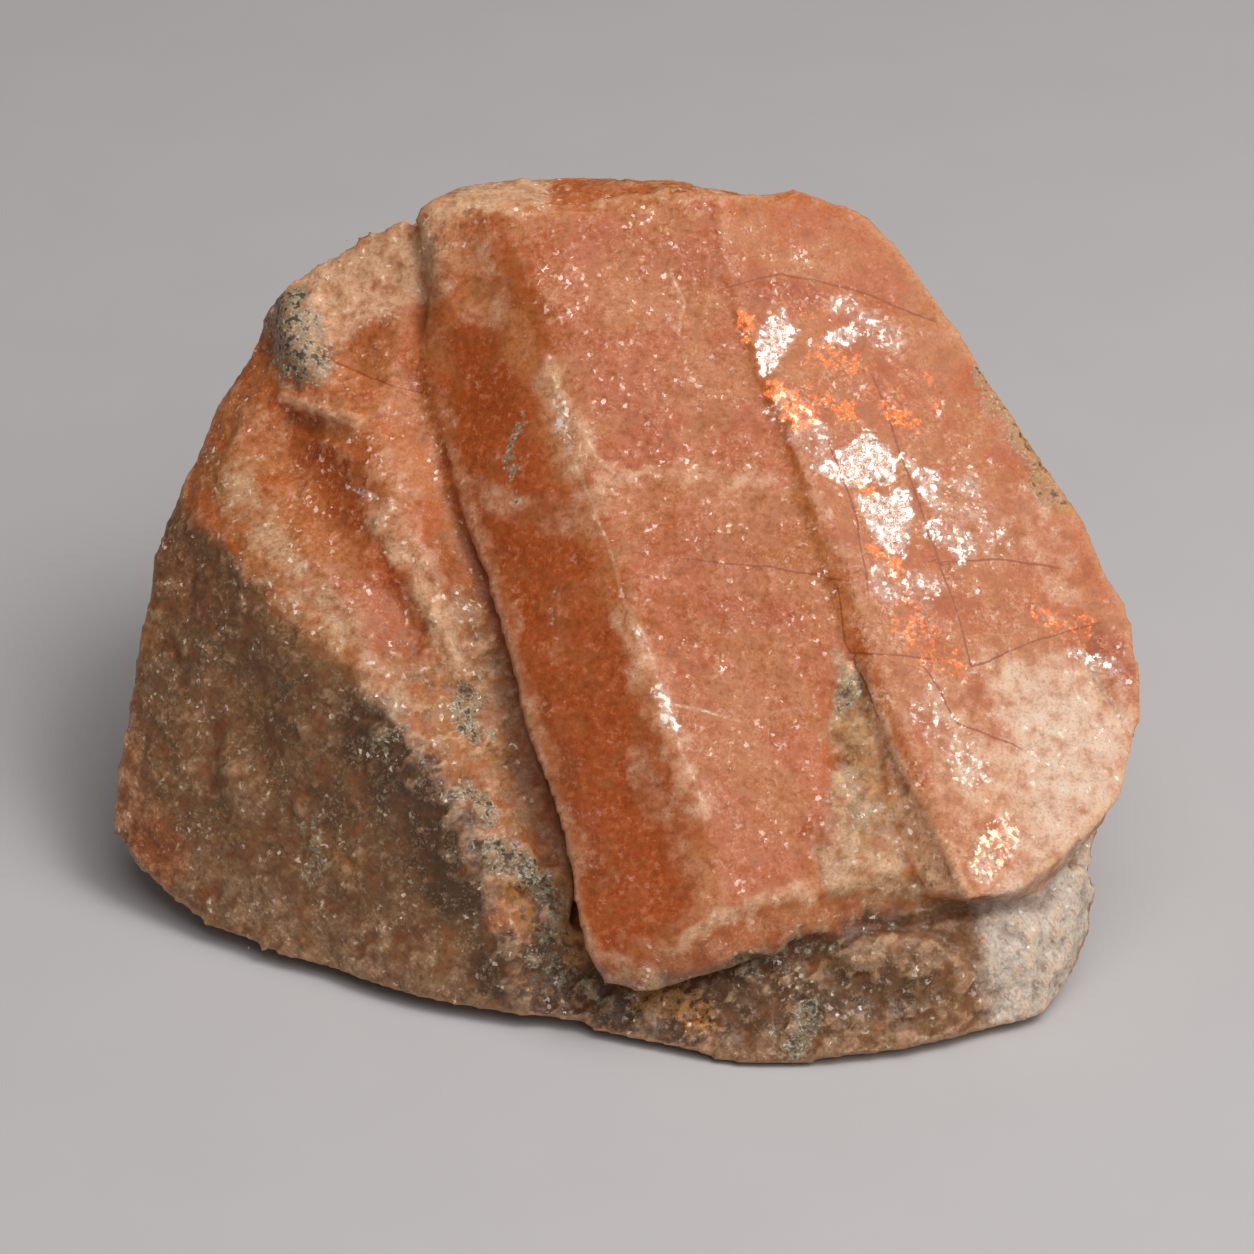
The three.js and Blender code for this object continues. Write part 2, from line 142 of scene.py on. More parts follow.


# What lies where on the side that the camera sees, by mineral or finish, and where shade, highlights
# and glints are painted.
DRAWN = {
    "deep": areas((CLEAR_SIDE, 2.4, 0.8))
    + lines(
        ([(-11, 20.6), (-9.4, 14), (-7, 5)], 3.2, 0.95),
        ([(-2.6, -4), (1, -13), (3.4, -19)], 3.6, 0.95),
        ([(34.6, -1.2), (36.4, -4)], 2.4, 0.85),
        ([(-22.6, 13), (-18.6, 6), (-15.6, -1)], 2.6, 0.65),
        ([(-27.5, 18), (-23, 14)], 1.8, 0.5),
        ([(13.4, -14.2), (14.6, -15.4)], 1.8, 0.7),
        ([(4, 6), (9, 4.6)], 2.6, 0.5),
        ([(6, 2), (12, 0.5)], 2.4, 0.5),
        ([(-5.4, 28.3), (0, 27.5), (6, 26)], 2.4, 0.5),
        ([(-4, 21.6), (-2, 17), (2, 14)], 3, 0.45),
        ([(3, 18), (6, 15)], 2.6, 0.35),
        ([(9.4, 24.2), (11.4, 25), (13.2, 24)], 1.5, 0.9),
        ([(-37.6, -8), (-36.4, -13), (-33.6, -17)], 3.4, 0.5),
        ([(6.4, -14), (10, -17.5)], 3, 0.3),
        ([(-35, 6), (-31, 2)], 4, 0.3),
    ),
    "pale": areas((MILKY, 3.5, 0.85), (BAR_END, 0.7, 0.35), (RISER, 0.8, 0.95), (MATRIX, 1.5, 0.5))
    + lines(
        ([(-5.6, 18.2), (-3.6, 12.6), (-2.4, 9.4)], 2.4, 0.65),
        ([(0, 0.4), (1.6, -4), (3.4, -9), (5.4, -13)], 2.2, 0.6),
        ([(0.6, -9), (3, -14), (5.6, -19.5)], 2, 0.45),
        ([(-10, 9.6), (-6.6, 8.6), (-3, 7.4)], 2.2, 0.5),
        ([(-11.8, 29), (-10.2, 23)], 3.2, 0.45),
        ([(-4.6, 3), (-5.2, -2)], 1.6, 0.3),
        ([(-38, -4), (-36.6, -13)], 3.4, 0.5),
        ([(-5.9, 18.6), (-1.8, 12), (0, 11)], 0.8, 0.55),
        ([(-2, 10.9), (4, 11.2), (10, 10.5)], 1.2, 0.6),
        ([(4.2, 25), (3.6, 22)], 0.6, 0.4),
        ([(-13.2, 30.8), (-10.6, 31.4), (-7, 32)], 2.4, 0.95),
        ([(-19, 30.4), (-15.4, 31.2)], 1.8, 0.5),
        ([(4, -22.4), (8, -20.4), (13.6, -19.3)], 1.1, 0.8),
        ([(-2.4, -23.2), (2, -25.4)], 1.6, 0.5),
        ([(-24.8, 16.7), (-22.5, 15.8), (-19.6, 15)], 1.4, 0.45),
        ([(-18, 8.4), (-14.8, 3), (-12.2, -3)], 2, 0.65),
        ([(-28.5, 11), (-24.5, 4), (-20.4, -0.6), (-16.6, -5.6)], 2.2, 0.5),
        ([(-32.6, 3), (-34, -5)], 3.4, 0.25),
        ([(-28.6, -10.4), (-27.4, -13)], 2.4, 0.3),
        ([(-31, -18), (-22, -22.6), (-14, -25)], 5, 0.35),
        ([(29, 9), (32, 2)], 3, 0.45),
        ([(33.6, -3.2), (36.7, -7.8)], 0.8, 0.8),
        # Painted light: the shoulder's top is paler where the light falls on it more strongly.
        ([(-22, 24), (-16, 26.4)], 5.4, 0.9),
        ([(24, -6), (26, -16)], 4, 0.5),
        ([(22, -17.6), (30, -18.6)], 1.4, 0.5),
        ([(-13.6, 17), (-9.9, 5), (-5.9, -10), (-2.8, -20)], 1, 0.4),
        ([(25, -10), (30, -16)], 5, 0.7),
    ),
    "quartz": areas((FOOT, 1.8, 0.85), (MATRIX, 1.4, 0.8), (STRIP, 2.6, 0.55), (LEFT_FACE, 3, 0.85))
    + lines(([(-29, 11), (-25, 4), (-18, -4)], 3.6, 0.5)),
    "slab": areas((SLAB_END, 3, 1), (MILKY, 7, 0.5)),
    # Partly a brown crust and partly painted shade: it darkens the left face and the foot, which lie in
    # shade.
    "shade": areas((LEFT_FACE, 2.6, 0.9), (FOOT, 1.5, 0.72))
    + lines(
        ([(-22, 4), (-16, -3)], 3, 0.25),
        ([(-6, -27), (4, -28), (14, -27)], 4.5, 0.75),
        ([(14, -27), (22, -28)], 4, 0.45),
        ([(16, -22), (20, -23.4)], 2.2, 0.5),
        ([(-13.5, 6), (-8, -12), (-5.4, -22)], 2, 0.4),
    ),
    # Dark crust, and painted shade where the foot and the lower left face lie in shade.
    "gloom": lines(
        ([(-18.5, -7.5), (-14.6, -13), (-12, -19)], 4.4, 1),
        ([(-9, -25), (-2, -27.6), (4, -28.4)], 4, 1),
        ([(-7.4, -19), (-4.4, -24)], 2.6, 0.8),
        # Painted shadow under the bar's end.
        ([(2, -26.6), (9, -25), (15, -22.6), (20, -21)], 2, 0.85),
        ([(6, -28), (14, -27), (20, -26.6)], 4, 0.6),
        ([(18, -25), (26, -26)], 3, 0.3),
        ([(-21, -12), (-17, -17)], 4, 0.4),
        ([(-7, -6), (-4.6, -12), (-2, -18)], 2.6, 0.28),
        ([(-24, -4), (-26, -9)], 2.4, 0.35),
        ([(-29, 3), (-27, -2)], 3, 0.3),
    ),
    "cleavage": areas((BLOCK_TOP, 0.8, 1)),
    "smooth": areas((BAR_SIDE, 1, 0.9))
    + lines(
        ([(13, 31), (17, 28.6), (21.6, 24.4), (25.4, 18.6)], 4.2, 1),
        ([(15, 27), (18, 25)], 2, 0.8),
        ([(28, 15), (35, 1)], 2.4, 0.7),
        ([(11, 16), (14.6, 8), (16.6, 1)], 1.4, 0.5),
    ),
    # Where the flakes mirror the light: their faces turn into the cleavage and are glossier, and a white
    # highlight is painted there as well.
    "mirror": areas(
        (HIGHLIGHT_UPPER, 1.2, 1), (HIGHLIGHT_MIDDLE, 0.7, 1), (HIGHLIGHT_LOWER, 0.9, 1), (GOLD_GLINT_PATCH, 1.2, 0.75)
    )
    + lines(
        ([(2.3, -5.2), (3.2, -7)], 0.9, 0.75),
        ([(0.9, -0.4), (1.4, -1.2)], 0.6, 0.75),
        ([(-4.7, 15.4), (-4, 13.4)], 1, 0.6),
        ([(-20.4, 10.4), (-17.4, 9.4)], 0.7, 0.6),
        ([(14.6, 21.2), (16, 21.4)], 0.9, 0.9),
        ([(21.3, 11), (22.1, 9.4)], 1.2, 0.9),
        ([(20.3, 12.4), (21.4, 11)], 0.8, 0.7),
        ([(22.6, 7.2), (24.6, 5.6)], 1.6, 0.65),
        ([(15.6, 23.2), (19, 20.8)], 2, 0.5),
        ([(24, 9.6), (27, 6)], 2.8, 0.45),
        ([(22, -6), (25, -10)], 3, 0.5),
        ([(32, -2), (35, -3)], 1.2, 0.65),
        ([(11, 16), (14, 13.6)], 2.4, 0.5),
        ([(18, 3.4), (22, 2.6)], 2.2, 0.5),
    ),
    "copper": areas((GOLD_GLINT_PATCH, 1.4, 0.7))
    + lines(
        ([(10.4, 17.6), (12.8, 15)], 1.5, 1),
        ([(8.4, 22.2), (9, 21)], 0.9, 0.9),
        ([(14.6, 16.2), (16.2, 15.4)], 1.2, 0.8),
        ([(13, 17.4), (14, 16.6)], 0.9, 0.7),
        ([(13.6, 19.4), (16.6, 19.4)], 1.3, 0.6),
        ([(18.4, 16.2), (19.2, 15.2)], 1, 0.75),
        ([(20, 15), (21.6, 14.6)], 0.9, 0.6),
        ([(21.8, 18), (22.6, 16.6)], 1.1, 0.5),
        ([(16.6, 10.4), (17.6, 9.6)], 0.8, 0.8),
        ([(18, 5.4), (19.6, 4)], 1, 0.8),
        ([(20, 1.4), (23, -2.6)], 3.2, 0.5),
        ([(30.6, 1), (33.6, 0.4)], 1.8, 0.55),
        ([(14, 22), (20, 16)], 5, 0.36),
        ([(-24.4, 25), (-23.6, 25.2)], 0.8, 0.9),
    ),
    "mica": lines(
        ([(-24.4, 22.8), (-23.6, 19.8)], 3.8, 0.9),
        ([(-12.2, -5.4), (-11.2, -7.6)], 2.1, 0.8),
        ([(-11.4, -11.6), (-10.2, -13.2)], 1.7, 0.8),
        ([(-9.4, -16.2), (-6.8, -18.2)], 2.6, 0.9),
        ([(-5.6, -19.6), (-4.8, -22.6)], 1.8, 0.6),
        ([(-14.4, -9), (-16, -7.4), (-18.6, -8.4)], 2, 0.4),
        ([(-22.9, -14.4), (-22.4, -17.6)], 1.9, 0.5),
        ([(13.2, -27.4), (12.4, -30.8)], 1.5, 0.85),
        ([(1, -27), (5.4, -27.6)], 2.2, 0.6),
        ([(8, -25), (15, -23)], 1.3, 0.5),
        ([(15.6, -6), (16.6, -3)], 1.3, 0.75),
        ([(16.4, -8.4), (17, -14)], 1.9, 0.55),
        ([(-7.6, 15.4), (-7.9, 12.6), (-8, 9.4)], 0.45, 0.75),
        ([(-5, 3.2), (-5.6, 0.4)], 0.3, 0.6),
        ([(25.8, 18.6), (28.2, 14.4), (31, 9.4)], 1.8, 0.7),
        ([(-6.4, -24), (-2, -27)], 1.6, 0.5),
    ),
    "iron": lines(
        ([(-4.6, -19), (-3.6, -23.6)], 1.9, 0.8),
        ([(1.6, -26.8), (5.4, -28)], 2, 1),
        ([(-8.6, -18), (-7.4, -21)], 1.8, 0.7),
        ([(16, -7.6), (18.4, -12)], 2.4, 0.7),
        ([(26.2, 18), (29, 13), (31.4, 8.8)], 1.6, 0.8),
        ([(-12, -9.6), (-9.6, -15)], 1.8, 0.4),
        ([(-7.4, -25.6), (-1, -29.4)], 1.6, 0.5),
    ),
}

# Thin cracks and thin pale veins, as the middle of each line.
CRACKS = [
    [(18, 17.8), (20.8, 10), (24.1, 0.6), (25, -3)],
    [(7.5, 24.7), (11.2, 25.7), (16, 24.6), (21.8, 22.4)],
    [(22.3, 4.7), (27, 4.9), (31, 4.3)],
    [(16.6, -1.9), (19, -1.9), (22, -2.3)],
    [(25, -3), (29, -1.2), (33, 0)],
    [(4.9, 4.9), (10, 4.4), (15.2, 3.5)],
    [(-21, 19.2), (-17.5, 17.6), (-15, 17)],
    [(15.3, 2.5), (15.8, -1), (17, -3.4), (18, -6)],
    [(14.8, 13), (16.6, 8), (17.4, 3)],
    [(21.6, -3), (24, -7), (28, -8.6)],
]
VEINS = [
    [(-5.5, 17), (-3.8, 12.1), (-1.6, 6.5), (0, 1.6), (1.3, -0.6), (2.3, -4), (3.8, -8.6), (5.6, -12.8)],
    [(-21, 22.8), (-18.4, 23.2), (-16.5, 22.4)],
    [(-3.6, 14.8), (-2.2, 12.4), (-0.6, 10.8)],
    [(2.6, -5.4), (5, -5.9), (7.4, -6.6)],
    [(3.4, 25.4), (4.2, 23.6), (3.8, 21.8)],
    [(33.6, -3.2), (35.4, -5.6), (36.7, -7.8)],
]

# The thin lines by the name of their mark, and how wide they are.
THIN_LINES = {"crack": (CRACKS, 0.16), "vein": (VEINS, 0.3)}

# A thin line fades out over this length past its ends, and the distance to it is kept up to this one.
THIN_LINE_FADE = 1.2
THIN_LINE_FAR = 5

# A thin line begins at the first of these parts of its width and is full at the second.
THIN_LINE_GONE = 1.2
THIN_LINE_FULL = 0.6

# A drawn line is at its full strength up to this part of its reach.
LINE_FULL = 0.25

# How far the outlines and the thin lines wander from where they are drawn, and the clouds that lead them.
OUTLINE_WANDER = 0.9
THIN_LINE_WANDER = 0.15
WANDER_WIDTH = 2.4
WANDER_SHIFTS = (11.0, 23.0)

# What lies on the sides that the camera does not see, in clouds: how strong it is, the width of a cloud and
# which clouds, how far the stone's lower part raises the clouds, how much lies there without clouds, and
# the cloud's height where the mineral begins and where it is full.
BEHIND = {
    "deep": (0.55, 14, 1.3, 0, 0, 0.05, 0.5),
    "pale": (0.5, 9, 4.9, 0, 0, 0.15, 0.6),
    "quartz": (0.8, 16, 8.2, 0, 1, 0.1, 0.5),
    "mica": (0.75, 7, 2.6, 0.25, 0, 0.38, 0.62),
    "iron": (0.6, 8, 6.4, 0.15, 0, 0.3, 0.6),
    "shade": (0.35, 18, 9.7, 0, 0, 0, 0.5),
    "cleavage": (0.35, 12, 5.5, 0, 0, 0.1, 0.4),
}

# The stone's lower part ends gradually between these two heights.
LOWER_PART = (6, 20)

# Fine form that is cut into or stands on the broad face: line, reach to each side and height.
RELIEF = [
    (GROOVE, 1.2, 0.1),
    (BLOCK_EDGE, 0.7, 0.12),
    (RISER_FOOT, 0.9, -0.15),
    (RISER_TOP, 0.7, 0.15),
    ([(-24.8, 16.7), (-22.5, 15.8), (-19.6, 15)], 0.9, 0.4),
    ([(-24.6, 15), (-22, 14.2), (-19.4, 13.4)], 1, -0.3),
    ([(-19, 8.8), (-15, 2), (-11.8, -3.6)], 1.2, 0.25),
    ([(34, 0), (33.7, -3), (36.7, -7.8)], 0.7, -0.35),
    ([(20, -21.6), (24, -20.6), (30, -20.4)], 0.9, -0.4),
    ([(-5.9, 18.6), (-1.8, 12), (0, 11)], 0.6, 0.12),
    (CRACKS[0], 0.6, -0.08),
    (CRACKS[1], 0.6, -0.06),
    ([(-24.4, 22.4), (-23.8, 20)], 2.6, 0.7),
    ([(-28.4, -10.6), (-27.6, -12.6)], 2.6, 0.35),
    ([(-30.4, -7.4), (-30.2, -11)], 1.6, -0.4),
    ([(17, -23.4), (23, -24.6)], 3, 0.5),
    ([(15.6, -21.6), (22, -22), (25, -24)], 0.9, -0.35),
    ([(33.6, -18.5), (32.2, -27)], 0.7, -0.3),
    ([(30.8, -19.5), (29.6, -28)], 0.7, -0.3),
    ([(27.6, -21), (26.8, -28)], 0.6, -0.2),
]

# How much the lowest edge is drawn in towards the middle, the height below which it is, and the height
# below which the relief gets lower.
DRAWN_IN = 0.02
DRAWN_IN_BELOW = 1.4 * MM
LOW_RELIEF_BELOW = 2 * MM

# How much the fine mesh is smoothed: the part of the way to the neighbours, and how often.
WEAR = 0.5
WEAR_ROUNDS = 12

# Rounds of smoothing that a bulge is measured against, for the form's edges and for the marks of ridges.
# An edge begins to count at the first bulge and fully at the second, and loses this part of its roughness.
EDGE_ROUNDS = 6
BULGE_ROUNDS = 5
EDGE_BULGE = (0.05, 0.2)
EDGE_CALM = 0.8

# The grains: how much the level and the slope of a grain's face count, and which random levels and slopes.
GRAIN_LEVEL = 0.6
GRAIN_SLOPE = 1.6
LEVELS = 17.0
SLOPES = 13.0

# The grit on the grains, as parts of the roughness and of a grain's width, the lumps, as a height and a
# part of the roughness, and which noise each of them is. Mica is rougher by a part of the roughness.
GRIT = 0.8
GRIT_WIDTH = 0.8
GRIT_SHIFT = 3.1
LUMP_HEIGHT = 0.08
LUMP_SHARE = 0.8
LUMP_SHIFT = 7.7
MICA_ROUGHER = 1.2

# Cloudy noise: its kind, how fast its finer clouds get lower and narrower, and how many sizes of cloud
# there are.
NOISE_KIND = "PERLIN_ORIGINAL"
NOISE_FALL = 1.0
NOISE_STEP = 2.0
NOISE_OCTAVES = 3

# How rough each area is broken: how far a grain stands out of the middle level.
ROUGHNESS = areas(
    (BAR_SIDE, 1, 0.05), (BAR_TOP, 1, 0.07), (BLOCK_TOP, 1, 0.045), (SHOULDER, 1, 0.12),
    (LEFT_FACE, 1, 0.13), (STRIP, 1, 0.2), (FOOT, 1, 0.22), (MATRIX, 1, 0.16), (BAR_END, 0.5, 0.07),
)
ROUGHNESS_ELSEWHERE = 0.16
ROUGHEST = 0.22

# The patterns that run through the stone: the width of a cloud and how much finer detail it has. The
# detail's strength is the same for all of them.
CLOUDS = {"clouds": (4.2, 1), "patches": (1.5, 3), "grain": (0.5, 2), "dust": (0.19, 1)}
DETAIL_STRENGTH = 0.6

# The middle of a pattern's values.
MIDDLE = 0.5

# How much the patches add to the clouds of the orange stain.
STAIN_PATCHES = 0.5

# The width of a block of flakes that lie alike, how far the grain bends the flakes' outlines, and the
# length, width, thickness and detail of a streak.
BLOCK_WIDTH = 2.6
FLAKE_BEND = 0.7
STREAK_SIZE = (2.4, 0.26, 0.26)
STREAK_DETAIL = 2

# How much of the sparkle is left where the surface is marked as smooth.
CALMED = 0.3

# Shares whose edge a pattern breaks up: the mark on the mesh, the pattern, how much it strengthens and
# weakens the mark, and how strong that leaves the mark where the share begins and where it is full.
BROKEN = {
    "deep": ("deep", "patches", 2.6, 0.05, 1),
    "quartz": ("quartz", "patches", 3, 0.1, 0.9),
    "cream": ("pale", "patches", 3.2, 0.1, 1.1),
    "shade": ("shade", "clouds", 1.6, 0, 1),
    "silver": ("mica", "grain", 3.4, 0.35, 0.75),
    "black": ("mica", "grain", 5, 0.85, 1.4),
    "iron": ("iron", "grain", 4, 0.4, 1.1),
    "gloom": ("gloom", "patches", 2.6, 0, 1),
    "slab": ("slab", "patches", 2, 0.1, 1),
    "sheen": ("mirror", "patches", 3, 0.2, 0.8),
    "pearl": ("mirror", "grain", 4, 0.55, 0.8),
    "copper": ("copper", "grain", 5, 0.5, 0.85),
}

# Shares that come straight from a pattern or from what the mesh says: the value where the share begins and
# where it is full.
STEPPED = {
    "orange": ("stain", 0.66, 0.84),
    "pink": ("patches", 0.53, 0.66),
    "dim": ("patches", 0.48, 0.36),
    "fleck": ("dust", 0.52, 0.72),
    "pit": ("dust", 0.47, 0.3),
    "pale_grain": ("grain", 0.52, 0.68),
    "dark_grain": ("grain", 0.47, 0.34),
    "net": ("net", 0.015, 0.06),
    "cluster": ("patches", 0.4, 0.6),
    "streaks": ("streaks", 0.5, 0.66),
    "ridge": ("bulge", 0.02, 0.16),
    "hollow": ("bulge", -0.02, -0.2),
    "red_flake": ("flake_red", 0.3, 0.2),
    "pale_flake": ("flake_red", 0.72, 0.82),
    "glint": ("flake_green", 0.06, 0.03),
}

# The minerals' colours laid over each other, from the feldspar's ground to the finest specks, with painted
# shade, highlights and glints among them: the shares whose product says where, how strong it is at most,
# and the colour.
LAYERS = [
    (("orange",), 0.7, "orange"),
    (("pink",), 0.4, "pink"),
    (("quartz",), 0.85, "quartz"),
    # Brown crust, and painted shade on the left face and the foot.
    (("shade",), 0.66, "shade"),
    (("deep",), 0.95, "deep"),
    (("deep", "pale_grain"), 0.35, "salmon"),
    (("deep", "dim"), 0.25, "crack"),
    (("dim",), 0.18, "crack"),
    # Dark crust, and painted shade on the foot and the left face.
    (("gloom",), 0.9, "umber"),
    (("cream",), 0.7, "cream"),
    (("slab",), 0.85, "slab"),
    # Painted light: edges that stand out are paler, as light that glows through them.
    (("ridge",), 0.35, "cream"),
    (("vein",), 0.3, "cream"),
    (("vein", "pale_grain"), 0.7, "pearl"),
    (("dark_grain",), 0.2, "crack"),
    (("pale_grain", "cluster"), 0.18, "cream"),
    # Painted sheen: a pale haze around the highlights, with darker flakes in it.
    (("sheen",), 0.3, "pearl"),
    (("sheen", "red_flake"), 0.4, "crack"),
    (("cleavage", "pale_flake", "cluster"), 0.3, "cream"),
    # Partly painted glints: pale specks in clusters.
    (("fleck", "cluster"), 0.26, "cream"),
    (("pit",), 0.28, "crack"),
    (("shade", "streaks"), 0.35, "crack"),
    (("silver",), 0.7, "silver"),
    # Painted glints: pale specks on the mica.
    (("silver", "fleck"), 0.6, "slab"),
    (("iron",), 0.7, "iron"),
    (("black",), 0.85, "black"),
    # Darker in the hollows of the surface.
    (("hollow",), 0.35, "crack"),
    (("crack",), 0.7, "deep"),
    (("crack",), 0.45, "crack"),
    # Painted glints: single glinting flakes drawn paler as well as turned toward the light.
    (("glint",), 0.3, "pearl"),
    # Painted highlight: white where the flakes mirror the light.
    (("pearl",), 0.8, "pearl"),
    (("copper",), 0.6, "copper"),
    # Painted glints: yellow specks on the copper platelets.
    (("copper", "fleck"), 0.7, "gold"),
]

# How far each pattern turns the way that a face looks: the pattern, the share that it depends on, and how
# far it turns the face without that share and with all of it.
TURNED = {
    "grain": ("grain_way", "coarse", 0.4, 1.3),
    "flake": ("flake_way", "cleavage", 0.08, 0.16),
    "block": ("block_way", "pearl", 0.34, 0.05),
}

# How far the block's face lies in the cleavage without pearly flakes and with them, and how far single
# glinting flakes and copper platelets do on the side that the camera sees.
CLEAVAGE_SHOWS = (0.3, 0.95)
FLAKES_SHOW = {"glint": 0.7, "copper": 0.6}

# How the feldspar takes the light: its refractive index, how strong its reflection is, how much light
# scatters under the surface, how far red, green and blue go there, and the depth that these are parts of.
REFRACTION = 1.53
REFLECTION = 0.35
SCATTER = 0.35
SCATTER_REACH = (1.0, 0.42, 0.2)
SCATTER_DEPTH = 1.5 * MM

# How matt the stone and its flakes are, and how metallic the flakes look.
STONE_MATT = 0.5
FLAKE_MATT = {"pearl": 0.28, "glint": 0.18}
METALLIC = {"pearl": 0.12, "copper": 0.25, "glint": 0.06}

# The card of the floor: the width and the detail of its faint clouds, how much darker they are, and how
# matt it is.
CARD_CLOUD = 0.012
CARD_DETAIL = 4
CARD_DARKER = 0.06
CARD_MATT = 0.85

# The way from the stone to the overhead light.
OVERHEAD = Vector((0.4, -0.42, 1))


def linear(hex_colour):
    """An sRGB hex colour as linear red, green, blue and alpha."""
    channels = [int(hex_colour[i : i + 2], 16) / 255 for i in (1, 3, 5)]
    return [c / 12.92 if c <= 0.04045 else ((c + 0.055) / 1.055) ** 2.4 for c in channels] + [1.0]


def colour_property(name, description, hex_colour):
    """A colour that the panel shows."""
    return bpy.props.FloatVectorProperty(
        name=name,
        description=description,
        subtype="COLOR",
        size=4,
        min=0,
        max=1,
        default=linear(hex_colour),
    )


def length_property(name, description, metres):
    """A length that the panel shows."""
    return bpy.props.FloatProperty(
        name=name,
        description=description,
        default=metres,
        min=0,
        precision=5,
        subtype="DISTANCE",
        unit="LENGTH",
    )


def power_property(name, description, watts):
    """A light's power that the panel shows."""
    return bpy.props.FloatProperty(name=name, description=description, default=watts, min=0, unit="POWER")


class SunstoneStone(bpy.types.PropertyGroup):
    """Sizes and colours of the stone."""

    mesh_step: length_property("Mesh step", "Distance between the points of the fine surface", 0.00044)
    grain: length_property("Grain", "Width of the grains that the surface breaks along", 0.0013)
    lump: length_property("Lumps", "Width of the low lumps between larger breaks", 0.0042)
    flake: length_property("Flakes", "Width of a single cleavage flake", 0.00027)
    salmon: colour_property("Salmon feldspar", "Main colour of the feldspar", "#ba6e3a")
    orange: colour_property("Orange feldspar", "Warmer clouds in the feldspar", "#b4561e")
    pink: colour_property("Pink feldspar", "Cooler clouds in the feldspar", "#b8704c")
    deep: colour_property("Deep orange", "Clear feldspar, stained by iron", "#a84a12")
    # Pale veins and crushed feldspar, and painted light on ridges, on the shoulder's top and in specks that
    # stand for glints.
    cream: colour_property("Cream", "Ridges in painted light, veins and crushed feldspar", "#e2b892")
    quartz: colour_property("Quartz", "Greyish quartz of the foot", "#967248")
    # Clear quartz, also the colour of the painted glints on the mica.
    slab: colour_property("Clear quartz", "Pale quartz slabs at the right end", "#ddd0c0")
    # Brown crust, also used as painted shade on the left face and the foot.
    shade: colour_property("Brown crust", "Brown crust and painted shade on the left face and the foot", "#6a4e36")
    # Dark crust, also used as painted shade on the foot and under the bar's end.
    umber: colour_property("Dark crust and shade", "Darkest crust and painted shade beside the foot", "#483828")
    black: colour_property("Dark mica", "Dark mica between the quartz grains", "#342e28")
    silver: colour_property("Pale mica", "Grey-green mica around the dark flakes", "#8c8468")
    iron: colour_property("Iron stain", "Yellow-brown stain", "#b8792c")
    crack: colour_property("Crack", "Stain in thin cracks", "#723412")
    # The palest bits of the veins, and painted highlights, sheen and glints on the flakes.
    pearl: colour_property("Pearly flakes", "Cleavage flakes with painted highlights and glints", "#f0ddd0")
    copper: colour_property("Copper platelets", "Thin platelets inside the feldspar", "#ee6a28")
    # Painted glints of the platelets.
    gold: colour_property("Gold glints", "Painted glints of platelets", "#ffc470")


class SunstoneStage(bpy.types.PropertyGroup):
    """Sizes, colours and light of the stage."""

    floor_width: length_property("Floor width", "Side of the square floor", 4.0)
    floor: colour_property("Floor", "Matt grey floor", "#bdb9b8")
    key_distance: length_property("Key distance", "From the stone to the key light", 0.6)
    key_width: length_property("Key width", "Side of the square key light", 0.2)
    key_power: power_property("Key power", "Power of the key light", 1.2)
    fill_distance: length_property("Fill distance", "From the stone to the overhead light", 0.52)
    fill_width: length_property("Fill width", "Side of the square overhead light", 0.6)
    fill_power: power_property("Fill power", "Power of the overhead light", 2.8)
    sky: bpy.props.FloatProperty(
        name="Sky", description="Strength of the even light from all round", default=0.12
    )


def smooth_step(value, low, high):
    """0 below low, 1 above high and smooth in between."""
    share = np.clip((value - low) / (high - low), 0, 1)
    return share * share * (3 - 2 * share)


def seen_from_camera(points):
    """(right, up) of points in the camera's view, in millimetres at the distance of VIEW_CENTRE."""
    offset = (points - np.array(VIEW_CENTRE)) / MM
    up = offset[:, 2] * math.cos(CAMERA_TILT) + offset[:, 1] * math.sin(CAMERA_TILT)
    near = offset @ np.array(TO_EYE)
    spread = 1 - near * MM / CAMERA_DISTANCE
    return np.stack([offset[:, 0] / spread, up / spread], axis=1)


def distance_to_line(places, line):
    """Distance of each place to a drawn line, the same with a sign that tells the line's two sides apart,
    and how far the place lies past the line's ends."""
    best = np.full(len(places), np.inf)
    side = np.ones(len(places))
    past = np.zeros(len(places))
    corners = np.array(line, float)
    for number, (start, end) in enumerate(zip(corners[:-1], corners[1:])):
        along = end - start
        length = np.hypot(*along)
        along = along / length
        travel = (places - start) @ along
        nearest = np.clip(travel, 0, length)
        distance = np.hypot(*(places - start - nearest[:, None] * along).T)
        across = (places[:, 1] - start[1]) * along[0] - (places[:, 0] - start[0]) * along[1]
        beyond = np.abs(travel - nearest)
        inner = (number > 0) & (travel < 0) | (number < len(corners) - 2) & (travel > length)
        closer = distance < best
        best = np.where(closer, distance, best)
        side = np.where(closer, np.where(inner, np.sign(across) * distance, across), side)
        past = np.where(closer, np.where(inner, 0, beyond), past)
    return best, side, past


def share_of_line(places, drawn):
    """How strongly each place is under a drawn line, from 0 to 1."""
    best, _, _ = distance_to_line(places, drawn["line"])
    return drawn["strength"] * (1 - smooth_step(best, LINE_FULL * drawn["reach"], drawn["reach"]))


def share_of_area(places, drawn):
    """How strongly each place is inside a drawn area, from 0 to 1."""
    outline = drawn["outline"]
    best, _, _ = distance_to_line(places, outline + outline[:1])
    x, y = places.T
    inside = np.zeros(len(places), bool)
    for (x0, y0), (x1, y1) in zip(outline, outline[1:] + outline[:1]):
        if y0 != y1:
            crosses = (y0 > y) != (y1 > y)
            inside ^= crosses & (x < x0 + (x1 - x0) * (y - y0) / (y1 - y0))
    signed = np.where(inside, best, -best)
    return drawn["strength"] * smooth_step(signed, -0.5 * drawn["reach"], 0.5 * drawn["reach"])


